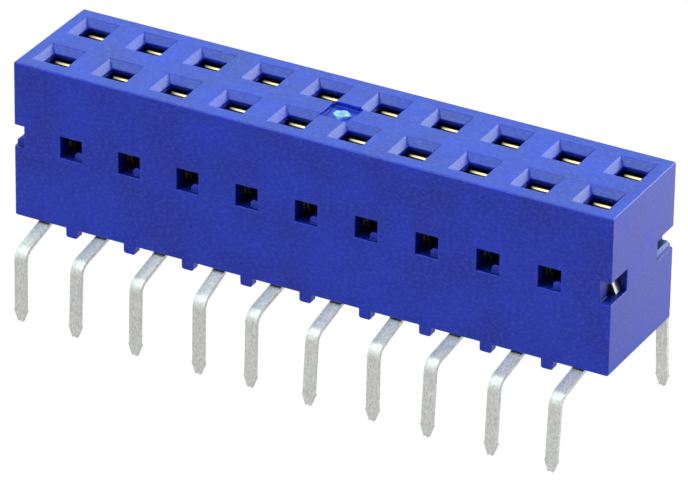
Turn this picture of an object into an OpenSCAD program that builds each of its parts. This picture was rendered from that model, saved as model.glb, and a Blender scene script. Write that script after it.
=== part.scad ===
// Vertical two-row socket strip for square pins.
// One moulded housing carries formed sheet-metal contacts, one in each cell. Their tails are bent
// outwards under the housing and then down, so that they straddle a gap in the board.
// Frame: X along the strip, Y across the two rows, Z up. The origin is the middle of the housing's
// underside, where the underside meets the board's datum.

/* [Grid] */
// Contact positions along the strip
positions = 10; // [2:1:24]
// Distance between neighbouring cells, and between the two rows
pitch = 2.54; // [2.5:0.01:2.8]
// How far each end face stands back from the last cell, so that strips can stand end to end
end_relief = 0.03; // [0.02:0.01:0.1]

/* [Housing] */
// Height from the underside to the mating face
housing_h = 6.56; // [6.4:0.02:8]
// Wall between a cell and the long outer face
side_wall = 0.6; // [0.4:0.02:0.8]
// Rounding of the housing's outer edges
edge_r = 0.08; // [0.04:0.01:0.2]

/* [Sockets] */
// Width of the square lead-in at the mating face
mouth_w = 1.52; // [1.4:0.02:1.7]
// Width of the square hole that guides the pin
throat_w = 1.02; // [0.9:0.02:1.2]
// Depth of the lead-in slopes
lead_in = 0.28; // [0.2:0.02:0.4]
// Length of the guide hole below the slopes
throat_len = 0.17; // [0.1:0.01:0.3]
// Width of the square cell that holds the contact
cell_w = 1.5; // [1.4:0.02:1.6]
// Width of the narrower bay above the contact's box
bay_w = 1.12; // [1:0.02:1.3]

/* [Latch windows] */
// Width of each window in the long faces
window_w = 0.94; // [0.7:0.02:1.1]
// Height of the window's sill above the underside
window_sill = 2.98; // [2.6:0.02:3.2]
// Height of the window opening
window_h = 0.91; // [0.8:0.01:1.1]
// Height of the ledge in one half of each window
ledge_h = 0.32; // [0.15:0.01:0.4]
// How far the ledge stands behind the long face
ledge_set = 0.18; // [0.1:0.02:0.3]
// Distance from the rib's middle to the ledge
ledge_in = 0.06; // [0.02:0.01:0.1]
// Chamfer along the ledge's upper edge
ledge_chamfer = 0.12; // [0.05:0.01:0.14]

/* [Standoffs] */
// Width of each standoff under the long edges
standoff_w = 0.5; // [0.3:0.02:0.8]
// Drop of each standoff below the underside
standoff_h = 0.36; // [0.2:0.02:0.6]
// Depth of each standoff across the housing
standoff_d = 0.4; // [0.2:0.02:0.6]
// Chamfer around a standoff's foot
standoff_chamfer = 0.06; // [0.02:0.01:0.12]

/* [Gate] */
// Width of the square pocket that keeps the gate mark below the mating face
gate_w = 1.28; // [0.8:0.02:1.3]
// Distance along the strip from the cross of ribs to the pocket's middle
gate_shift = 0.06; // [0:0.02:0.16]
// Depth of that pocket
gate_depth = 0.2; // [0.1:0.01:0.3]
// Diameter of the broken stub in it
stub_d = 0.6; // [0.3:0.02:0.6]
// Height of the stub
stub_h = 0.13; // [0.05:0.01:0.18]

/* [Contact] */
// Thickness of the contact's sheet metal
sheet = 0.16; // [0.12:0.01:0.2]
// Clearance between the contact's box and its cell, on each side
box_gap = 0.05; // [0.03:0.01:0.08]
// Height of the box's lower edge above the underside
box_foot = 0.9; // [0.6:0.05:1.4]
// Height of the box's upper edge above the underside
box_top = 4.3; // [4.1:0.05:4.4]
// Outer radius of the box's folded corners
fold_r = 0.22; // [0.18:0.01:0.24]
// Width of the seam where the folded edges meet
seam_w = 0.08; // [0.04:0.01:0.15]

/* [Beams] */
// Width of the two spring beams
beam_w = 0.84; // [0.6:0.02:0.9]
// Straight length of a beam above the box
beam_foot = 0.15; // [0.1:0.01:0.25]
// Lean of a beam towards the pin, in degrees
beam_lean = 17; // [16:0.5:21]
// Length of the leaning part
beam_len = 0.95; // [0.8:0.01:1]
// Spread of a beam's free end away from the pin, in degrees
beam_flare = 12; // [8:1:20]
// Length of that free end
beam_tip = 0.44; // [0.2:0.01:0.46]
// Chamfer coined on the inner edge of that end
beam_coin = 0.06; // [0.03:0.01:0.1]
// Radius of the crown that touches the pin, at mid-thickness
crown_r = 0.3; // [0.2:0.01:0.35]

/* [Latch tongue] */
// Width of the tongue cut from the box's side
tongue_w = 0.45; // [0.3:0.01:0.6]
// Distance from the row's middle to the tongue's near edge
tongue_in = 0.04; // [0:0.01:0.1]
// How far the tongue's foot stands out from the box
tongue_out = 0.34; // [0.2:0.01:0.45]
// Clearance over the window's sill
tongue_gap = 0.02; // [0.01:0.01:0.1]
// Length of the tongue, up the box
tongue_len = 0.86; // [0.6:0.01:0.9]

/* [Tails] */
// Width of a tail
tail_w = 0.5; // [0.36:0.02:0.6]
// Height above the underside where a tail starts its first bend
bend_start = 0.23; // [0.15:0.01:0.26]
// Radius of the bend under the housing, at mid-thickness
root_r = 0.28; // [0.2:0.01:0.32]
// Radius of the bend at the knee, at mid-thickness
knee_r = 0.5; // [0.25:0.01:0.55]
// Distance from the row's middle out to the knee
knee_out = 2.9; // [2.4:0.05:3.6]
// Length of strip from the box along the shoulder and down the leg
tail_len = 5.34; // [4.8:0.02:6.4]
// Length of the pointed end
point_len = 0.56; // [0.3:0.02:0.8]
// Width of the blunt tip
point_w = 0.2; // [0.1:0.02:0.3]
// How far the pressed point swells beyond each edge of the tail
point_swell = 0.03; // [0.01:0.01:0.05]
// Depth of the nick that shearing leaves in the tip
tip_nick = 0.05; // [0.02:0.01:0.08]
// Clearance over a tail where it leaves its cell
relief_gap = 0.1; // [0.06:0.01:0.15]

/* [Hidden] */
$fn = 48;
eps = 0.01;
lap = 0.01;
row_y = pitch / 2;
housing_l = positions * pitch - 2 * end_relief;
housing_w = 2 * (row_y + cell_w / 2 + side_wall);
rib = pitch - cell_w;                   // plastic between two cells
pocket_d = side_wall + cell_w / 2;      // windows reach in to the row's middle
box_w = cell_w - 2 * box_gap;
wall_mid = box_w / 2 - sheet / 2;       // middle of a box wall, from the cell's middle
bay_floor = box_top + box_gap;
bay_roof = housing_h - lead_in - throat_len;
relief_w = tail_w + 0.5;
gate_x = gate_shift + (positions % 2) * pitch / 2;      // beside the cross of ribs nearest the middle

// How each tail was bent by hand: [droop of the shoulder, splay of the leg, swing sideways] in
// degrees, then [extra reach of the knee]. Seen from outside, swing is positive to the right.
FRONT_BENDS = [
    [14.5, 0.5, -0.5, 0.05], [13.5, 2.5, -3, 0], [17, 1, -2.5, -0.05], [18, 0.5, 1.5, -0.15],
    [15, 1.5, -4, -0.05], [15, 4.5, -1.5, 0.05], [14.5, 1, -0.5, 0], [12.5, 3.5, -4.5, 0],
    [13, 3.5, -1.5, 0], [12, 4, -2, 0]
];
REAR_BENDS = [
    [17, 3.5, -10, -0.3], [15, 1, 1, 0], [14, 2, 0, 0.05], [16, 3, -1.5, -0.05],
    [13, 1.5, 1, 0], [15, 2.5, 0, 0], [14, 1, -1, 0.05], [16, 3, 2, -0.05],
    [13, 2, 0.5, 0], [15, 1.5, 0, 0]
];

function two_digits(n) = str(n < 10 ? "0" : "", n);
function cell_x(i) = (i - (positions - 1) / 2) * pitch;
function edge_x(k) = (k - positions / 2) * pitch;
function front_name(i) = str("contact_front_", two_digits(i + 1));
function rear_name(i) = str("contact_rear_", two_digits(i + 1));

// Flat shapes

module rounded_rect(w, h, r) {
    square([w - 2 * r, h], center = true);
    square([w, h - 2 * r], center = true);
    for (x = [-1, 1], y = [-1, 1]) translate([x * (w / 2 - r), y * (h / 2 - r)]) circle(r);
}

module trapezoid(w_low, w_high, h) {
    polygon([[-w_low / 2, 0], [w_low / 2, 0], [w_high / 2, h], [-w_high / 2, h]]);
}

// Housing

module both_rows() {
    children();
    rotate([0, 0, 180]) children();
}

module rounded_block(l, w, h, r) {
    intersection() {
        linear_extrude(h) rounded_rect(l, w, r);
        translate([0, w / 2, h / 2]) rotate([90, 0, 0]) linear_extrude(w) rounded_rect(l, h, r);
        translate([-l / 2, 0, h / 2]) rotate([90, 0, 90]) linear_extrude(l) rounded_rect(w, h, r);
    }
}

// Four-sided hopper, made as the meeting of two wedges
module hopper(w_low, w_high, h) {
    w = max(w_low, w_high) + 1;
    intersection() {
        translate([0, w / 2, 0]) rotate([90, 0, 0]) linear_extrude(w) trapezoid(w_low, w_high, h);
        translate([-w / 2, 0, 0]) rotate([90, 0, 90]) linear_extrude(w) trapezoid(w_low, w_high, h);
    }
}

// Everything removed for one contact: lead-in, guide hole, bay for the beams, cell for the box,
// and the sloped relief that lets the tail out under the long face
module cell() {
    slope = (mouth_w - throat_w) / lead_in;
    translate([0, 0, housing_h - lead_in])
        hopper(throat_w, mouth_w + slope * eps, lead_in + eps);
    translate([-throat_w / 2, -throat_w / 2, bay_roof - eps])
        cube([throat_w, throat_w, throat_len + 2 * eps]);
    translate([-bay_w / 2, -cell_w / 2, bay_floor - eps])
        cube([bay_w, cell_w, bay_roof - bay_floor + eps]);
    translate([-cell_w / 2, -cell_w / 2, -1]) cube([cell_w, cell_w, bay_floor + 1]);
    translate([-relief_w / 2, -cell_w / 2, 0]) rotate([90, 0, 90]) linear_extrude(relief_w)
        polygon([
            [eps, -eps], [eps, bend_start + relief_gap / 2],
            [-eps, bend_start + relief_gap / 2], [edge_r / 2 - side_wall, -eps]
        ]);
}

// Ledge in the right half of a window, seen from outside, drawn behind a face at y = 0
module ledge() {
    w = rib / 2;
    translate([0, ledge_set, 0]) rotate([90, 0, 0]) mirror([0, 0, 1]) linear_extrude(pocket_d)
        polygon([
            [ledge_in, -eps], [w + eps, -eps], [w + eps, ledge_h],
            [ledge_in + ledge_chamfer, ledge_h], [ledge_in, ledge_h - ledge_chamfer]
        ]);
}

// Pocket behind a window: as wide as the window through the wall, then open to both cells
module window_pocket() {
    difference() {
        union() {
            translate([-window_w / 2, -1, 0]) cube([window_w, side_wall + 1 + eps, window_h]);
            translate([-rib / 2 - eps, side_wall, 0])
                cube([rib + 2 * eps, pocket_d - side_wall, window_h]);
        }
        ledge();
    }
}

module standoff() {
    c = standoff_chamfer;
    w = standoff_w / 2;
    rotate([90, 0, 0]) mirror([0, 0, 1]) linear_extrude(standoff_d)
        polygon([
            [-w, 2 * edge_r], [-w, c - standoff_h], [c - w, -standoff_h],
            [w - c, -standoff_h], [w, c - standoff_h], [w, 2 * edge_r]
        ]);
}

module housing() {
    color("royalblue") difference() {
        union() {
            rounded_block(housing_l, housing_w, housing_h, edge_r);
            both_rows() for (k = [1:positions - 1])
                translate([edge_x(k), -housing_w / 2, 0]) standoff();
        }
        both_rows() for (i = [0:positions - 1]) translate([cell_x(i), -row_y, 0]) cell();
        both_rows() for (k = [0:positions])
            translate([edge_x(k), -housing_w / 2, window_sill]) window_pocket();
        translate([gate_x, 0, housing_h - gate_depth]) difference() {
            translate([-gate_w / 2, -gate_w / 2, 0]) cube([gate_w, gate_w, gate_depth + 1]);
            translate([0, 0, -1]) cylinder(h = 1 + stub_h, d = stub_d);
        }
    }
}

// Sheet-metal strip, drawn along +X with its thickness along Y. A bend turns towards +Y, and each
// straight run laps a hair into the bends before and after it.

module run(len, w) {
    translate([-lap, -sheet / 2, -w / 2]) cube([len + 2 * lap, sheet, w]);
}

module bend(r, a, w) {
    translate([0, r, 0]) rotate([0, 0, -90]) rotate_extrude(angle = a)
        translate([r - sheet / 2, -w / 2]) square([sheet, w]);
}

module after_run(len) {
    translate([len, 0, 0]) children();
}

module after_bend(r, a) {
    translate([r * sin(a), r * (1 - cos(a)), 0]) rotate([0, 0, a]) children();
}

// Contact, drawn for a cell of the front row with the cell's middle at x = 0, y = 0

module box() {
    foot = window_sill + tongue_gap;
    difference() {
        translate([0, 0, box_foot]) linear_extrude(box_top - box_foot) difference() {
            rounded_rect(box_w, box_w, fold_r);
            rounded_rect(box_w - 2 * sheet, box_w - 2 * sheet, fold_r - sheet);
        }
        translate([-box_w, -seam_w / 2, 0]) cube([box_w, seam_w, box_top + 1]);
        translate([0, -tongue_in - tongue_w, foot]) cube([box_w, tongue_w, tongue_len]);
    }
}

// Tongue that springs out over the window's sill and keeps the contact in its cell
module tongue() {
    foot = window_sill + tongue_gap;
    out = box_w / 2;
    translate([0, -tongue_in, 0]) rotate([90, 0, 0]) linear_extrude(tongue_w)
        polygon([
            [out, foot + tongue_len], [out + tongue_out, foot],
            [out + tongue_out - sheet, foot], [out - sheet, foot + tongue_len]
        ]);
}

// Free end of a beam, with the edge that meets the pin first pressed to a slope
module coined_end() {
    translate([0, 0, -beam_w / 2]) linear_extrude(beam_w)
        polygon([
            [-lap, -sheet / 2], [beam_tip - beam_coin, -sheet / 2], [beam_tip, beam_coin - sheet / 2],
            [beam_tip, sheet / 2], [-lap, sheet / 2]
        ]);
}

module beam() {
    run(beam_foot, beam_w);
    after_run(beam_foot) {
        bend(crown_r, beam_lean, beam_w);
        after_bend(crown_r, beam_lean) {
            run(beam_len, beam_w);
            after_run(beam_len) mirror([0, 1, 0]) {
                bend(crown_r, beam_lean + beam_flare, beam_w);
                after_bend(crown_r, beam_lean + beam_flare) coined_end();
            }
        }
    }
}

// Tail from the box's outer wall: down, out under the housing, down again to a point
module tail(bends) {
    droop = bends[0];
    splay = bends[1];
    knee = knee_out + bends[3] - wall_mid;          // from the shank out to the sharp knee
    root_turn = 90 - droop;
    knee_turn = root_turn - splay;
    shoulder = (knee - root_r * (1 - sin(droop))) / cos(droop) - knee_r * tan(knee_turn / 2);
    leg = tail_len - knee / cos(droop) - knee_r * tan(knee_turn / 2) - point_len;
    shank = box_foot - bend_start;

    run(shank, tail_w);
    after_run(shank) {
        bend(root_r, root_turn, tail_w);
        after_bend(root_r, root_turn) {
            run(shoulder, tail_w);
            after_run(shoulder) mirror([0, 1, 0]) {
                bend(knee_r, knee_turn, tail_w);
                after_bend(knee_r, knee_turn) {
                    run(leg, tail_w);
                    after_run(leg) pointed_end();
                }
            }
        }
    }
}

module pointed_end() {
    translate([0, sheet / 2, 0]) rotate([90, 0, 0]) linear_extrude(sheet)
        polygon([
            [-lap, -tail_w / 2], [0, -tail_w / 2], [0.1, -tail_w / 2 - point_swell],
            [point_len, -point_w / 2], [point_len - tip_nick, 0], [point_len, point_w / 2],
            [0.1, tail_w / 2 + point_swell], [0, tail_w / 2], [-lap, tail_w / 2]
        ]);
}

module contact(bends) {
    color("silver") {
        box();
        tongue();
        for (turn = [0, 180]) rotate([0, 0, turn])
            translate([0, -wall_mid, box_top]) rotate([0, -90, 0]) beam();
        translate([0, -wall_mid, box_foot]) rotate([0, 0, bends[2]]) rotate([0, 90, 180])
            tail(bends);
    }
}

module contact_front(i) {
    translate([cell_x(i), -row_y, 0]) contact(FRONT_BENDS[i % len(FRONT_BENDS)]);
}

// The rear row is the front row turned half a turn, so its first contact stands at the far end
module contact_rear(i) {
    j = positions - 1 - i;
    rotate([0, 0, 180]) translate([cell_x(j), -row_y, 0]) contact(REAR_BENDS[j % len(REAR_BENDS)]);
}

housing();
for (i = [0:positions - 1]) {
    contact_front(i);
    contact_rear(i);
}
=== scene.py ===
# %% [markdown]
# # A socket strip for square pins
# The part is a blue moulded housing with rows of square sockets, and one formed metal contact in
# each socket. The contacts' tails come out under the long sides, bend outwards and then down. The
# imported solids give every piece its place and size. This script gives them their looks: softened
# edges, plastic and metal finishes, light and a camera.

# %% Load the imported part
import bpy, bmesh, math, random
from mathutils import Matrix, Vector


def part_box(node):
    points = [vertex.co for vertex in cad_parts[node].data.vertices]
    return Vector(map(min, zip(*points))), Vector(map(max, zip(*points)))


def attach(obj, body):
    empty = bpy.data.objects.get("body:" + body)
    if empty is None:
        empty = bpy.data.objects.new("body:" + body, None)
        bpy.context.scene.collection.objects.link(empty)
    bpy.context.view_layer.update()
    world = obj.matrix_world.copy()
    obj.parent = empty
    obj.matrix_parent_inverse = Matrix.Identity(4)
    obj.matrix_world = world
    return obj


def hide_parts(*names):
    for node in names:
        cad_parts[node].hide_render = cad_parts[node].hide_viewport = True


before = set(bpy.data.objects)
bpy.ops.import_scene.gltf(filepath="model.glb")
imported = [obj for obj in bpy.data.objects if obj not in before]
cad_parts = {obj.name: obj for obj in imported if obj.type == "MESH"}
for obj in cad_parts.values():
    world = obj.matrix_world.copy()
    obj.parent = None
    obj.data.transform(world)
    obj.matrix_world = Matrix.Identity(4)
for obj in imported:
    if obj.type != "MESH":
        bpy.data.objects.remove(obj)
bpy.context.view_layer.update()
contacts = sorted(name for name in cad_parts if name.startswith("contact_"))
print(len(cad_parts), "nodes,", len(contacts), "contacts")

# %% [markdown]
# ## Sizes
# Everything below is drawn in millimetres, because a pitch of 2.54 is easier to read than 0.00254,
# and because Blender's booleans and merge distances like numbers near one. Each finished mesh is
# scaled to metres once, at the end, when it becomes a piece. The sizes repeat those of the solids.

# %% Sizes in millimetres
MM = 0.001
POSITIONS = 10
PITCH = 2.54
ROW_Y = PITCH / 2
END_RELIEF = 0.03
CELL_W = 1.5
SIDE_WALL = 0.6
HOUSING_L = POSITIONS * PITCH - 2 * END_RELIEF
HOUSING_W = PITCH + CELL_W + 2 * SIDE_WALL
HOUSING_H = 6.56
EDGE_R = 0.08
RIB = PITCH - CELL_W
print("housing", round(HOUSING_L, 2), "x", round(HOUSING_W, 2), "x", HOUSING_H, "mm")

# %% [markdown]
# ## One helper for every node tree
# Shader trees and Geometry Nodes trees are built the same way: add a node, choose its settings, then
# give each input a value or a link. One function does all three, so a tree reads from top to bottom
# as a list of steps. Another turns the hex colours of a colour picker into linear light.

# %% Node helper and colours
def add(tree, kind, settings={}, inputs={}):
    node = tree.nodes.new(kind)
    for name, value in settings.items():
        setattr(node, name, value)
    for name, value in inputs.items():
        values = value if isinstance(value, list) else [value]
        for one in values:
            if isinstance(one, bpy.types.NodeSocket):
                tree.links.new(one, node.inputs[name])
            else:
                node.inputs[name].default_value = one
    return node


def linear(hex_colour):
    parts = [int(hex_colour[i:i + 2], 16) / 255 for i in (1, 3, 5)]
    return tuple(c / 12.92 if c <= 0.04045 else ((c + 0.055) / 1.055) ** 2.4 for c in parts) + (1.0,)


def new_material(name):
    material = bpy.data.materials.new(name)
    material.use_nodes = True
    material.node_tree.nodes.clear()
    return material, material.node_tree


print("white is", linear("#ffffff"))

# %% [markdown]
# ## Short names for common nodes
# A few nodes come back in every material: noise, arithmetic, a change of range, a ramp between two
# colours, and a mix of two colours. Each gets a function that returns the output socket, so that
# one step can be handed straight to the next.

# %% Common nodes
def noise(tree, place, scale, detail=2.0, roughness=0.5):
    return add(tree, "ShaderNodeTexNoise", {}, {
        "Vector": place, "Scale": scale, "Detail": detail, "Roughness": roughness}).outputs["Fac"]


def maths(tree, kind, a, b, more={}):
    return add(tree, "ShaderNodeMath", {"operation": kind}, {0: a, 1: b, **more}).outputs[0]


def remap(tree, value, low, high, to_low=0.0, to_high=1.0, settings={}):
    return add(tree, "ShaderNodeMapRange", settings, {
        "Value": value, "From Min": low, "From Max": high,
        "To Min": to_low, "To Max": to_high}).outputs["Result"]


def colour_ramp(tree, value, low, low_colour, high, high_colour):
    node = add(tree, "ShaderNodeValToRGB", {}, {"Fac": value})
    first, last = node.color_ramp.elements
    first.position, first.color = low, low_colour
    last.position, last.color = high, high_colour
    return node.outputs["Color"]


def blend(tree, factor, colour_0, colour_1):
    return add(tree, "ShaderNodeMix", {"data_type": "RGBA"}, {
        "Factor": factor, 6: colour_0, 7: colour_1}).outputs[2]


def split(tree, vector):
    return add(tree, "ShaderNodeSeparateXYZ", {}, {0: vector}).outputs


CAVITY = 1.2 * MM


def shelter(tree):
    return add(tree, "ShaderNodeAmbientOcclusion", {"samples": 6}, {"Distance": CAVITY}).outputs["AO"]


print("short names for 7 kinds of node")

# %% [markdown]
# ## Moulded plastic
# Such a housing is injection-moulded from a glass-filled thermoplastic. The steel mould is finely
# spark-eroded, so the surface is satin: it keeps soft, pale reflections at low angles. Three things
# break up the flat colour: pale streaks and rare pale specks where glass fibres lie under the skin,
# a cloudy change of tone some millimetres across where the melt flowed, and a fine grain of about
# 0.05 mm. A little light also soaks into the plastic, which subsurface scattering shows.
#
# The broken stub in the gate pocket is painted paler, for its stress-whitening and also as a painted highlight of
# its torn surface.

# %% Colour of the plastic
GATE = (0.06, 0.0, HOUSING_H)
STUB_EDGE, POCKET_EDGE = 0.28 * MM, 0.4 * MM
plastic, tree = new_material("moulded_blue_thermoplastic")
place = add(tree, "ShaderNodeTexCoord").outputs["Object"]
clouds = noise(tree, place, 450.0, 3.0)
fibre_place = add(tree, "ShaderNodeMapping", {}, {
    "Vector": place, "Scale": (0.75, 1.0, 1.0)}).outputs["Vector"]
fibres = noise(tree, fibre_place, 8000.0, 4.0)
specks = noise(tree, place, 8000.0, 0.0)
grain = noise(tree, place, 20000.0, 2.0)

tone = colour_ramp(tree, clouds, 0.3, linear("#0424ae"), 0.7, linear("#0c33ca"))
streak = remap(tree, fibres, 0.46, 0.74, 0.0, 0.34)
speck = remap(tree, specks, 0.8, 0.86, 0.0, 0.4)
pale = maths(tree, "MAXIMUM", streak, speck)
streaked = blend(tree, pale, tone, linear("#4a66dc"))

from_gate = add(tree, "ShaderNodeVectorMath", {"operation": "DISTANCE"}, {
    0: place, 1: tuple(c * MM for c in GATE)}).outputs["Value"]
near_gate = remap(tree, from_gate, STUB_EDGE, POCKET_EDGE, 0.9, 0.0, {"interpolation_type": "SMOOTHSTEP"})
# Paler near the gate: real stress-whitening plus a painted highlight of the torn stub.
whitened_and_highlit = blend(tree, near_gate, streaked, linear("#a4dcf6"))
print("plastic colour nodes", len(tree.nodes))

# %% [markdown]
# ## Painted shade in the cavities
# Little light finds its way into a socket or a window, so shade is painted there. An Ambient
# Occlusion node measures how much of the surroundings each point is shut off from, up to 1.2 mm away,
# and both the colour and the sheen are painted darker with it, towards a near-black blue. Three zones
# are excepted, because they lie open to the light: the lead-ins near the top face, the standoffs
# below the underside, and faces that look outwards near a long side, such as the ledges in the
# windows.

# %% Shade and surface of the plastic
TOP_ZONE = 6.0 * MM, 6.1 * MM
UNDER_ZONE = 0.0, -0.02 * MM
LEDGE_ZONE = (HOUSING_W / 2 - 0.28) * MM, (HOUSING_W / 2 - 0.2) * MM
shade = remap(tree, shelter(tree), 0.2, 0.82, 0.1, 1.0)
where = split(tree, place)
above = remap(tree, where["Z"], *TOP_ZONE)
below = remap(tree, where["Z"], *UNDER_ZONE)
facing = split(tree, add(tree, "ShaderNodeTexCoord").outputs["Normal"])["Y"]
outwards = maths(tree, "MULTIPLY", facing, where["Y"])
near_side = remap(tree, outwards, *LEDGE_ZONE)
open_zone = maths(tree, "MAXIMUM", maths(tree, "MAXIMUM", above, below), near_side)
lit = maths(tree, "MAXIMUM", shade, open_zone)
# Painted shade: the colour is blended towards a near-black blue where the AO node finds shelter, and the sheen is
# lowered with it.
shaded_colour = blend(tree, lit, (0.0, 0.001, 0.02, 1.0), whitened_and_highlit)
shine = remap(tree, lit, 0.0, 1.0, 0.08, 0.42)

satin = remap(tree, clouds, 0.3, 0.7, 0.3, 0.38)
bump = add(tree, "ShaderNodeBump", {}, {"Height": grain, "Strength": 0.5, "Distance": 0.006 * MM})
skin = add(tree, "ShaderNodeBsdfPrincipled", {}, {
    "Base Color": shaded_colour, "Roughness": satin, "Normal": bump.outputs["Normal"],
    "IOR": 1.5, "Specular IOR Level": shine,
    "Subsurface Weight": 0.6, "Subsurface Radius": (0.4, 0.6, 1.0), "Subsurface Scale": 0.3 * MM})
add(tree, "ShaderNodeOutputMaterial", {}, {"Surface": skin.outputs[0]})
print("plastic nodes", len(tree.nodes))

# %% [markdown]
# ## Plated metal
# A contact is stamped from phosphor bronze strip and plated in two zones: matt tin on the tail and
# box, where it is soldered, and hard gold on the spring beams, where the pin rubs. The zones meet at
# a height, so one material reads the Object coordinate's Z and changes colour there. Tin is a soft
# grey-white metal. Two noises give it patches of tone and fine marks, and the tails are rougher than
# the box and beams. Inside the housing the metal is painted darker as shade, wherever an Ambient
# Occlusion node finds it shut in. The upper ends of the beams, nearest the mouth, are spared a part
# of that painted shade, so that their glint at the mouth shows.

# %% Tin and gold for the contacts
GOLD_ZONE = 4.35 * MM, 4.5 * MM
TIP_ZONE = 5.985 * MM, 6.04 * MM
BOX_ZONE = 0.5 * MM, 0.9 * MM
metal, tree = new_material("tin_and_gold_plated_bronze")
metal_place = add(tree, "ShaderNodeTexCoord").outputs["Object"]
metal_z = split(tree, metal_place)["Z"]
gilded = remap(tree, metal_z, *GOLD_ZONE)
mark_place = add(tree, "ShaderNodeMapping", {}, {
    "Vector": metal_place, "Scale": (1.0, 0.5, 0.5)}).outputs["Vector"]
marks = noise(tree, mark_place, 22000.0, 3.0)
patches = noise(tree, mark_place, 15000.0, 5.0, 0.65)

tin = colour_ramp(tree, patches, 0.3, linear("#bebebb"), 0.7, linear("#ecebe8"))
plating = blend(tree, gilded, tin, linear("#cfb98f"))
# Painted shade: the plating is blended towards black where the AO node finds the metal shut in, and the beam tips
# are spared part of it.
metal_shade = remap(tree, shelter(tree), 0.2, 0.38, 0.08, 1.0)
tip = remap(tree, metal_z, *TIP_ZONE, 0.0, 0.3)
metal_lit = maths(tree, "MAXIMUM", metal_shade, tip)
shaded_plating = blend(tree, metal_lit, (0.002, 0.002, 0.002, 1.0), plating)
boxed = remap(tree, metal_z, *BOX_ZONE)
tail_roughness = remap(tree, marks, 0.3, 0.7, 0.48, 0.66)
roughness = add(tree, "ShaderNodeMix", {"data_type": "FLOAT"}, {
    "Factor": boxed, 2: tail_roughness, 3: 0.35}).outputs[0]
relief = maths(tree, "ADD", marks, patches)
metal_bump = add(tree, "ShaderNodeBump", {}, {"Height": relief, "Strength": 0.4, "Distance": 0.004 * MM})
plate = add(tree, "ShaderNodeBsdfPrincipled", {}, {
    "Base Color": shaded_plating, "Metallic": 1.0, "Roughness": roughness, "Normal": metal_bump.outputs["Normal"]})
add(tree, "ShaderNodeOutputMaterial", {}, {"Surface": plate.outputs[0]})
print("metal nodes", len(tree.nodes))

# %% [markdown]
# ## Tools that shape the housing
# A mould maker sees the housing as one block and a set of cores that are pulled out of it, and
# Blender can see it the same way. Each core is a small closed mesh: a prism, which is a flat outline
# pushed along one axis, or a stack of square rings, which gives the hopper at the mouth of a socket.
# They are drawn once, for the cell at x = 0, and repeated later.

# %% Mesh makers for the cores
def tool(name, mesh):
    bmesh.ops.recalc_face_normals(mesh, faces=mesh.faces)
    data = bpy.data.meshes.new(name)
    mesh.to_mesh(data)
    mesh.free()
    made = bpy.data.objects.new(name, data)
    bpy.context.scene.collection.objects.link(made)
    return made


def join_rings(mesh, rings):
    for low, high in zip(rings, rings[1:]):
        for i in range(len(low)):
            j = (i + 1) % len(low)
            mesh.faces.new((low[i], low[j], high[j], high[i]))
    mesh.faces.new(rings[0][::-1])
    mesh.faces.new(rings[-1])


def prism(name, outline, axis, start, end):
    mesh = bmesh.new()
    rings = []
    for along in (start, end):
        points = [list(p) for p in outline]
        for p in points:
            p.insert("XYZ".index(axis), along)
        rings.append([mesh.verts.new(p) for p in points])
    join_rings(mesh, rings)
    return tool(name, mesh)


def square_stack(name, levels):
    mesh = bmesh.new()
    corners = ((-1, -1), (1, -1), (1, 1), (-1, 1))
    join_rings(mesh, [[mesh.verts.new((x * w / 2, y * w / 2, z)) for x, y in corners] for z, w in levels])
    return tool(name, mesh)


print("mesh makers ready")

# %% [markdown]
# ## Cores for one socket
# From the top down a socket has a sloped lead-in, a short square guide hole, a bay in which the
# spring beams open, and the wider cell that holds the contact's box. The hopper's slope runs on a
# little above the top face, so that the cut never ends exactly on the face it cuts. A sloped relief
# under the long side lets the tail out.

# %% Socket cores
MOUTH_W, THROAT_W = 1.52, 1.02
LEAD_IN, THROAT_LEN = 0.28, 0.17
BAY_W, BAY_FLOOR = 1.12, 4.35
BAY_ROOF = HOUSING_H - LEAD_IN - THROAT_LEN
EXIT_HALF_W, EXIT_H, EXIT_BELOW = 0.49, 0.28, 0.3
OVER = 0.1
FAR = 1
BITE = 0.05
spread = (MOUTH_W - THROAT_W) / LEAD_IN * OVER

guide_core = square_stack("guide_core", [
    (BAY_ROOF - OVER, THROAT_W), (HOUSING_H - LEAD_IN, THROAT_W), (HOUSING_H + OVER, MOUTH_W + spread)])
half, bay = CELL_W / 2, BAY_W / 2
cell_core = prism("cell_core", [
    (-half, -FAR), (half, -FAR), (half, BAY_FLOOR), (bay, BAY_FLOOR),
    (bay, BAY_ROOF), (-bay, BAY_ROOF), (-bay, BAY_FLOOR), (-half, BAY_FLOOR)], "Y", -half, half)
exit_y = EDGE_R / 2 - SIDE_WALL - half
exit_core = prism("exit_core", [
    (BITE - half, -EXIT_BELOW), (BITE - half, EXIT_H), (-half, EXIT_H),
    (exit_y, 0), (exit_y, -EXIT_BELOW)], "X", -EXIT_HALF_W, EXIT_HALF_W)
print("bay from", BAY_FLOOR, "to", round(BAY_ROOF, 2), "mm")

# %% [markdown]
# ## Cores for one latch window
# The window goes through the wall at a rib between two sockets, and behind the wall it opens to the
# cells on both sides. Its right half is partly filled by a ledge with a chamfered corner. The ledge
# is drawn as a tool of its own and taken away from the window's core before that core cuts. The
# standoff and the core of the gate pocket are drawn here too.

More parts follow.
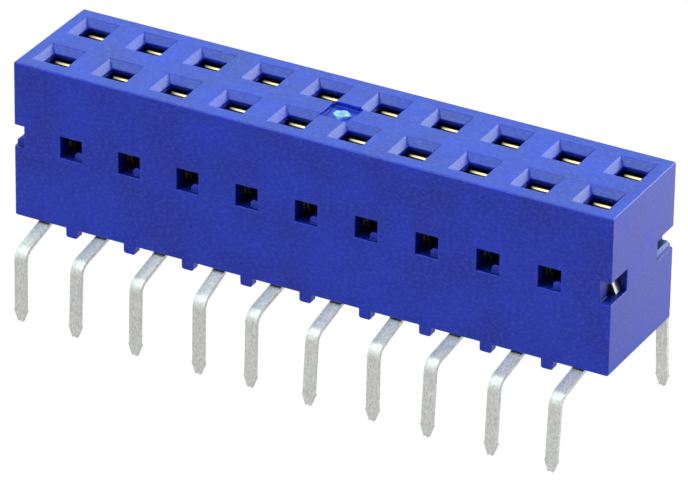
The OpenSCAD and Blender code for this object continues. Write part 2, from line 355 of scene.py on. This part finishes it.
# %% Window, ledge, standoff and gate tools
WINDOW_W, WINDOW_H, SILL = 0.94, 0.91, 2.98
LEDGE_H, LEDGE_SET, LEDGE_CHAMFER, LEDGE_IN = 0.32, 0.18, 0.12, 0.06
LEDGE_BELOW = 0.2
wide = RIB / 2 + BITE
deep = SIDE_WALL + CELL_W / 2
window_core = prism("window_core", [
    (-WINDOW_W / 2, -FAR), (WINDOW_W / 2, -FAR), (WINDOW_W / 2, SIDE_WALL), (wide, SIDE_WALL),
    (wide, deep), (-wide, deep), (-wide, SIDE_WALL), (-WINDOW_W / 2, SIDE_WALL)], "Z", 0, WINDOW_H)
ledge = prism("ledge", [
    (LEDGE_IN, -LEDGE_BELOW), (wide + OVER, -LEDGE_BELOW), (wide + OVER, LEDGE_H),
    (LEDGE_IN + LEDGE_CHAMFER, LEDGE_H), (LEDGE_IN, LEDGE_H - LEDGE_CHAMFER)], "Y", LEDGE_SET, deep + OVER)

STANDOFF_W, STANDOFF_H, STANDOFF_D, STANDOFF_CHAMFER = 0.5, 0.36, 0.4, 0.06
foot, drop, chamfer = STANDOFF_W / 2, STANDOFF_H, STANDOFF_CHAMFER
standoff = prism("standoff", [
    (-foot, 2 * EDGE_R), (-foot, chamfer - drop), (chamfer - foot, -drop),
    (foot - chamfer, -drop), (foot, chamfer - drop), (foot, 2 * EDGE_R)], "Y", 0, STANDOFF_D)

GATE_W, GATE_DEPTH = 1.28, 0.2
side = GATE_W / 2
gate_core = prism("gate_core", [(-side, -side), (side, -side), (side, side), (-side, side)], "Z",
                  HOUSING_H - GATE_DEPTH, HOUSING_H + FAR)
gate_core.data.transform(Matrix.Translation((GATE[0], 0, 0)))
print("window sill at", SILL, "mm, gate pocket", GATE_W, "mm wide")

# %% [markdown]
# ## The broken gate stub
# Plastic entered the mould through a small gate in the middle of the top. When the strip is broken
# off its runner, a rough stub stays in the pocket. A low cylinder with an uneven, seeded top looks
# torn, where a plain cylinder would look turned.

# %% Gate stub
STUB_D, STUB_H, STUB_DIP = 0.6, 0.15, 0.045


def torn_stub(name, sides=20, rings=4, seed=4):
    rng = random.Random(seed)
    phases = [rng.uniform(0, 2 * math.pi) for _ in range(4)]
    mesh = bmesh.new()
    floor_z = HOUSING_H - GATE_DEPTH
    loops = []
    for ring in range(rings + 1):
        loop = []
        for i in range(sides):
            turn = 2 * math.pi * i / sides
            rim = 1 + 0.13 * math.sin(2 * turn + phases[0]) + 0.08 * math.sin(5 * turn + phases[1])
            radius = STUB_D / 2 * rim * (1 if ring == 0 else 1 - 0.24 * (ring - 1))
            torn = 0.03 * math.sin(3 * turn + phases[2] + ring) + 0.02 * math.sin(4 * turn + phases[3] - 2 * ring)
            z = floor_z - OVER if ring == 0 else floor_z + STUB_H - STUB_DIP + torn
            loop.append(mesh.verts.new((GATE[0] + radius * math.cos(turn), radius * math.sin(turn), z)))
        loops.append(loop)
    join_rings(mesh, loops)
    return tool(name, mesh)


stub = torn_stub("gate_stub")
print("stub", len(stub.data.vertices), "vertices")

# %% [markdown]
# ## The block
# The housing's outer edges are rounded by 0.08 mm, more than the edges of its holes, so the block is
# rounded before anything is cut from it. If one bevel at the end did both, it would have to meet
# wide and narrow roundings in the corners of the windows.

# %% Rounded block
mesh = bmesh.new()
bmesh.ops.create_cube(mesh, size=1)
bmesh.ops.scale(mesh, vec=(HOUSING_L, HOUSING_W, HOUSING_H), verts=mesh.verts)
bmesh.ops.translate(mesh, vec=(0, 0, HOUSING_H / 2), verts=mesh.verts)
bmesh.ops.bevel(mesh, geom=mesh.edges[:], offset=EDGE_R, segments=3, profile=0.5, affect="EDGES",
                offset_type="OFFSET")
block = tool("housing_moulding", mesh)
print("block", len(block.data.polygons), "faces")

# %% [markdown]
# ## The housing as a Geometry Nodes tree
# The strip is made by repeating one pitch, so the tree does just that. For each core it lays a line
# of points along X, puts a copy on every point, and turns the whole row by half a turn for the other
# side. Then it joins the standoffs to the block, and cuts the sockets, the windows and the gate
# pocket out of it. The count and the pitch are inputs, so the same tree makes a longer strip around
# a longer block.

# %% Tree inputs
moulding = bpy.data.node_groups.new("moulding", "GeometryNodeTree")
tree_inputs = {
    "Block": "Geometry", "Cell core": "Object", "Guide core": "Object", "Exit core": "Object",
    "Window core": "Object", "Ledge": "Object", "Standoff": "Object", "Gate core": "Object",
    "Gate stub": "Object", "Positions": "Int", "Pitch": "Float", "Row offset": "Float",
    "Half width": "Float", "Sill": "Float", "Plastic": "Material"}
for name, kind in tree_inputs.items():
    moulding.interface.new_socket(name, in_out="INPUT", socket_type="NodeSocket" + kind)
moulding.interface.new_socket("Housing", in_out="OUTPUT", socket_type="NodeSocketGeometry")
given = add(moulding, "NodeGroupInput").outputs
print("tree inputs:", ", ".join(tree_inputs))

# %% Rows of cores
def times(a, b):
    return maths(moulding, "MULTIPLY", a, b)


def object_shape(source):
    return add(moulding, "GeometryNodeObjectInfo", {}, {"Object": source}).outputs["Geometry"]


def both_rows(core, more, y, z=0.0):
    count = maths(moulding, "ADD", given["Positions"], more)
    gaps = maths(moulding, "SUBTRACT", count, 1)
    start = add(moulding, "ShaderNodeCombineXYZ", {}, {
        "X": times(times(gaps, given["Pitch"]), -0.5), "Y": times(y, -1), "Z": z})
    step = add(moulding, "ShaderNodeCombineXYZ", {}, {"X": given["Pitch"]})
    line = add(moulding, "GeometryNodeMeshLine", {}, {
        "Count": count, "Start Location": start.outputs[0], "Offset": step.outputs[0]})
    copies = add(moulding, "GeometryNodeInstanceOnPoints", {}, {
        "Points": line.outputs[0], "Instance": object_shape(core)})
    row = add(moulding, "GeometryNodeRealizeInstances", {}, {"Geometry": copies.outputs[0]}).outputs[0]
    turned = add(moulding, "GeometryNodeTransform", {}, {
        "Geometry": row, "Rotation": (0, 0, math.pi)}).outputs[0]
    return add(moulding, "GeometryNodeJoinGeometry", {}, {"Geometry": [row, turned]}).outputs[0]


cells = both_rows(given["Cell core"], 0, given["Row offset"])
guides = both_rows(given["Guide core"], 0, given["Row offset"])
exits = both_rows(given["Exit core"], 0, given["Row offset"])
windows = both_rows(given["Window core"], 1, given["Half width"], given["Sill"])
ledges = both_rows(given["Ledge"], 1, given["Half width"], given["Sill"])
standoffs = both_rows(given["Standoff"], -1, given["Half width"])
print("rows of cores:", len(moulding.nodes), "nodes")

# %% Join and cut
def cut(body, core):
    return add(moulding, "GeometryNodeMeshBoolean", {"operation": "DIFFERENCE", "solver": "EXACT"}, {
        "Mesh 1": body, "Mesh 2": core}).outputs["Mesh"]


def fuse(a, b):
    return add(moulding, "GeometryNodeMeshBoolean", {"operation": "UNION", "solver": "EXACT"}, {
        "Mesh 2": [a, b]}).outputs["Mesh"]


gate_shape = object_shape(given["Gate core"])
stub_shape = object_shape(given["Gate stub"])
body = fuse(given["Block"], standoffs)
body = cut(body, fuse(fuse(cells, guides), exits))
body = cut(body, cut(windows, ledges))
body = cut(body, cut(gate_shape, stub_shape))
body = add(moulding, "GeometryNodeRealizeInstances", {}, {"Geometry": body}).outputs[0]
print("with the cuts:", len(moulding.nodes), "nodes")

# %% [markdown]
# ## Which edges get rounded
# The tree also marks the edges that the Bevel modifier is to round: those that turn by more than 32
# degrees, which leaves out the steps of the wider roundings. Two places are left sharp, because two
# roundings would run into each other there: the narrow step above the bay, and the rounded bottom
# edge where standoffs and tail reliefs meet it.

# %% Mark the edges
SHARP_ANGLE = math.radians(32)
BOTTOM_EDGE_DEPTH, BOTTOM_EDGE_Z, BOTTOM_EDGE_REACH = 0.12, 0.06, 0.08
BAY_STEP_REACH = 0.02
edge_angle = add(moulding, "GeometryNodeInputMeshEdgeAngle").outputs["Unsigned Angle"]
at = split(moulding, add(moulding, "GeometryNodeInputPosition").outputs[0])
from_middle = maths(moulding, "ABSOLUTE", at["Y"], 0.0)
from_side = maths(moulding, "SUBTRACT", given["Half width"], from_middle)
by_side = maths(moulding, "LESS_THAN", from_side, BOTTOM_EDGE_DEPTH)
by_foot = maths(moulding, "COMPARE", at["Z"], BOTTOM_EDGE_Z, {2: BOTTOM_EDGE_REACH})
bay_step = maths(moulding, "COMPARE", at["Z"], BAY_ROOF, {2: BAY_STEP_REACH})
left_sharp = maths(moulding, "MAXIMUM", times(by_side, by_foot), bay_step)
turns = maths(moulding, "GREATER_THAN", edge_angle, SHARP_ANGLE)
rounded = maths(moulding, "GREATER_THAN", turns, left_sharp)
body = add(moulding, "GeometryNodeStoreNamedAttribute", {"domain": "EDGE", "data_type": "FLOAT"}, {
    "Geometry": body, "Name": "bevel_weight_edge", "Value": rounded}).outputs[0]
body = add(moulding, "GeometryNodeSetMaterial", {}, {"Geometry": body, "Material": given["Plastic"]}).outputs[0]
body = add(moulding, "GeometryNodeSetShadeSmooth", {}, {"Geometry": body}).outputs[0]
add(moulding, "NodeGroupOutput", {}, {"Housing": body})
print("whole tree:", len(moulding.nodes), "nodes")

# %% [markdown]
# ## Soft edges
# No moulded edge is quite sharp, even where the drawing says so, and a thin rounding catches the
# light along every window and socket. A Bevel modifier after the tree rounds the marked edges by
# 0.03 mm. Its clamp is off, because one tight place would otherwise narrow every rounding. Weighted
# Normal then keeps the large flat faces flat in the shading. The result is stored as a plain mesh,
# and the tools are deleted.

# %% Make the housing
tree_values = {
    "Cell core": cell_core, "Guide core": guide_core, "Exit core": exit_core, "Window core": window_core,
    "Ledge": ledge, "Standoff": standoff, "Gate core": gate_core, "Gate stub": stub, "Positions": POSITIONS,
    "Pitch": PITCH, "Row offset": ROW_Y, "Half width": HOUSING_W / 2, "Sill": SILL, "Plastic": plastic}
carve = block.modifiers.new("carve", "NODES")
carve.node_group = moulding
for socket in moulding.interface.items_tree:
    if socket.in_out == "INPUT" and socket.name in tree_values:
        carve[socket.identifier] = tree_values[socket.name]
soften = block.modifiers.new("soften", "BEVEL")
soften.width, soften.segments = 0.03, 2
soften.limit_method = "WEIGHT"
soften.use_clamp_overlap = False
flatten = block.modifiers.new("level", "WEIGHTED_NORMAL")
flatten.weight = 100


def finished(source, name):
    bpy.context.view_layer.update()
    evaluated = source.evaluated_get(bpy.context.evaluated_depsgraph_get())
    data = bpy.data.meshes.new_from_object(evaluated)
    data.name = name
    data.transform(Matrix.Scale(MM, 4))
    source.modifiers.clear()
    old, source.data = source.data, data
    bpy.data.meshes.remove(old)
    source.name = name
    return source


housing = finished(block, "housing_moulding")
for core in (cell_core, guide_core, exit_core, window_core, ledge, standoff, gate_core, stub):
    bpy.data.meshes.remove(core.data)
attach(housing, "root")
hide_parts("housing")
print("housing", len(housing.data.vertices), "vertices", len(housing.data.polygons), "faces")

# %% [markdown]
# ## The contacts
# The solids of the contacts already have the right bends. Stamping leaves their edges a little
# rolled, so each one gets five live modifiers. Weld joins the loose triangles and Decimate merges
# those that lie in one plane. A small tree turns on smooth shading, Bevel rounds the edges by 0.035
# mm, and Weighted Normal keeps the flat faces flat in the shading.

# %% Finish the contacts
shading = bpy.data.node_groups.new("smooth_shading", "GeometryNodeTree")
shading.interface.new_socket("Mesh", in_out="INPUT", socket_type="NodeSocketGeometry")
shading.interface.new_socket("Mesh", in_out="OUTPUT", socket_type="NodeSocketGeometry")
received = add(shading, "NodeGroupInput").outputs
smooth = add(shading, "GeometryNodeSetShadeSmooth", {}, {"Geometry": received["Mesh"]}).outputs[0]
add(shading, "NodeGroupOutput", {}, {"Mesh": smooth})

for name in contacts:
    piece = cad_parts[name]
    piece.data.materials.clear()
    piece.data.materials.append(metal)
    weld = piece.modifiers.new("weld", "WELD")
    weld.merge_threshold = 0.0002 * MM
    merge = piece.modifiers.new("merge", "DECIMATE")
    merge.decimate_type, merge.angle_limit = "DISSOLVE", math.radians(0.5)
    piece.modifiers.new("smooth", "NODES").node_group = shading
    rolled = piece.modifiers.new("rolled", "BEVEL")
    rolled.width, rolled.segments = 0.035 * MM, 2
    rolled.limit_method, rolled.angle_limit = "ANGLE", math.radians(40)
    flat = piece.modifiers.new("flat", "WEIGHTED_NORMAL")
    flat.weight = 100
print("contacts finished:", len(contacts))

# %% [markdown]
# ## Floor
# A product shot of a small part is taken on white paper under soft light. The floor stands just under
# the lowest tail. Seen directly or in a reflection it is nearly plain white, with a little of a real
# diffuse paper mixed in so that it keeps the part's shadow. Reflections see it brighter towards the
# back, where more light falls on it. For the soft light it sends up to the part it is a plain
# grey-white paper.

# %% Paper floor
PLAIN_SHARE = 0.9
NEAR_Y, BACK_Y = -3 * MM, 20 * MM
FLOOR_Z = min(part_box(name)[0].z for name in contacts)
bpy.ops.mesh.primitive_plane_add(size=3.0, location=(0, 0, FLOOR_Z))
floor = bpy.context.object
floor.name = "floor"
paper, tree = new_material("white_paper")
rays = add(tree, "ShaderNodeLightPath").outputs
direct = maths(tree, "MAXIMUM", rays["Is Camera Ray"], rays["Is Glossy Ray"])
direct = maths(tree, "MAXIMUM", direct, rays["Is Transmission Ray"])
share = maths(tree, "MULTIPLY", direct, PLAIN_SHARE)
paper_place = add(tree, "ShaderNodeTexCoord").outputs["Object"]
sheet = colour_ramp(tree, noise(tree, paper_place, 800.0), 0.0, linear("#c4c4c4"), 1.0, linear("#cccccc"))
diffuse = add(tree, "ShaderNodeBsdfDiffuse", {}, {"Color": sheet}).outputs[0]
graded = remap(tree, split(tree, paper_place)["Y"], NEAR_Y, BACK_Y, 0.8, 1.6)
strength = add(tree, "ShaderNodeMix", {"data_type": "FLOAT"}, {
    "Factor": rays["Is Camera Ray"], 2: graded, 3: 1.08}).outputs[0]
white = add(tree, "ShaderNodeEmission", {}, {"Color": (1, 1, 1, 1), "Strength": strength}).outputs[0]
mixed = add(tree, "ShaderNodeMixShader", {}, {0: share, 1: diffuse, 2: white}).outputs[0]
add(tree, "ShaderNodeOutputMaterial", {}, {"Surface": mixed})
floor.data.materials.append(paper)
print("floor at", round(FLOOR_Z * 1000, 2), "mm")

# %% [markdown]
# ## Surroundings
# The world is white to look at and moderate as light. Reflections see something else: walls that are
# white at the horizon and fade to grey overhead, and a bright screen behind the part to the left.

# %% World
SCREEN_WAY = (-0.414, 0.775, 0.477)
world = bpy.data.worlds.new("studio")
bpy.context.scene.world = world
world.use_nodes = True
tree = world.node_tree
tree.nodes.clear()
sky_rays = add(tree, "ShaderNodeLightPath").outputs
sky_way = add(tree, "ShaderNodeTexCoord").outputs["Generated"]
walls = colour_ramp(tree, split(tree, sky_way)["Z"], 0.5, (1.0, 1.0, 1.0, 1.0), 0.9, (0.35, 0.36, 0.37, 1.0))
aside = add(tree, "ShaderNodeVectorMath", {"operation": "DOT_PRODUCT"}, {
    0: sky_way, 1: SCREEN_WAY}).outputs["Value"]
screened = blend(tree, remap(tree, aside, 0.6, 0.9), walls, (1.15, 1.6, 1.28, 1.0))
fill = blend(tree, sky_rays["Is Glossy Ray"], (0.42, 0.42, 0.42, 1.0), screened)
looked = blend(tree, sky_rays["Is Camera Ray"], fill, (1, 1, 1, 1))
sky = add(tree, "ShaderNodeBackground", {}, {"Color": looked, "Strength": 1.0})
add(tree, "ShaderNodeOutputWorld", {}, {"Surface": sky.outputs[0]})
print("world nodes", len(tree.nodes))

# %% [markdown]
# ## Lamps
# Three soft boxes light the strip: a broad one overhead, which makes the top clearly brighter than
# the long side, one behind to the right, which gives the socket slopes and rounded edges their pale
# sheen, and a weaker one at the front left, which lifts the long side. Each is far larger than the
# part, so the shadows stay soft.

# %% Soft boxes
AIM = Vector((0, 0, 4 * MM))


def soft_box(name, direction, distance, size, power, colour):
    lamp = bpy.data.lights.new(name, "AREA")
    lamp.shape, lamp.size, lamp.energy, lamp.color = "SQUARE", size, power, colour
    made = bpy.data.objects.new(name, lamp)
    towards = Vector(direction).normalized()
    made.location = towards * distance + AIM
    made.rotation_euler = towards.to_track_quat("Z", "Y").to_euler()
    bpy.context.scene.collection.objects.link(made)


soft_box("overhead", (-0.2, -0.2, 1.0), 0.24, 0.16, 0.25, (0.94, 1.03, 1.0))
soft_box("back_right", (0.5, 0.775, 0.4), 0.15, 0.11, 0.19, (0.93, 1.1, 0.95))
soft_box("front_left", (-0.414, -0.562, 0.716), 0.2, 0.06, 0.057, (0.88, 1.4, 1.35))

# %% [markdown]
# ## Camera
# A long lens from well back keeps the strip's edges nearly parallel, as in a catalogue picture. The
# camera stands 28 degrees to the right of the long side and 28.5 degrees up, turned by less than a
# degree about its own axis, and is placed so that the strip fills the frame.

# %% Place the camera
AZIMUTH, ELEVATION, ROLL = map(math.radians, (28.127, 28.484, 0.826))
DISTANCE, SLIDE_X, SLIDE_Y = 241.72, 0.163, -2.605
FOCAL_PX, FRAME_PX, SENSOR = 6445.92, 688, 36.0
back = Vector((
    math.sin(AZIMUTH) * math.cos(ELEVATION), -math.cos(AZIMUTH) * math.cos(ELEVATION), math.sin(ELEVATION)))
across = Vector((math.cos(AZIMUTH), math.sin(AZIMUTH), 0))
upward = back.cross(across)
right = math.cos(ROLL) * across + math.sin(ROLL) * upward
top = math.cos(ROLL) * upward - math.sin(ROLL) * across
lens = bpy.data.cameras.new("camera")
lens.sensor_width, lens.sensor_fit = SENSOR, "HORIZONTAL"
lens.lens = FOCAL_PX * SENSOR / FRAME_PX
lens.clip_start, lens.clip_end = 0.01, 10.0
camera = bpy.data.objects.new("camera", lens)
spot = (Vector((0, 0, 4)) + right * SLIDE_X + top * SLIDE_Y + back * DISTANCE) * MM
turned_to = Matrix((right, top, back)).transposed().to_4x4()
camera.matrix_world = Matrix.Translation(spot) @ turned_to
bpy.context.scene.collection.objects.link(camera)
bpy.context.scene.camera = camera
print("lens", round(lens.lens, 1), "mm, camera at", [round(c * 1000, 1) for c in spot])

# %% [markdown]
# ## Finish
# The colours are shown with Blender's Standard view transform.

# %% Finish
bpy.context.scene.view_settings.view_transform = "Standard"
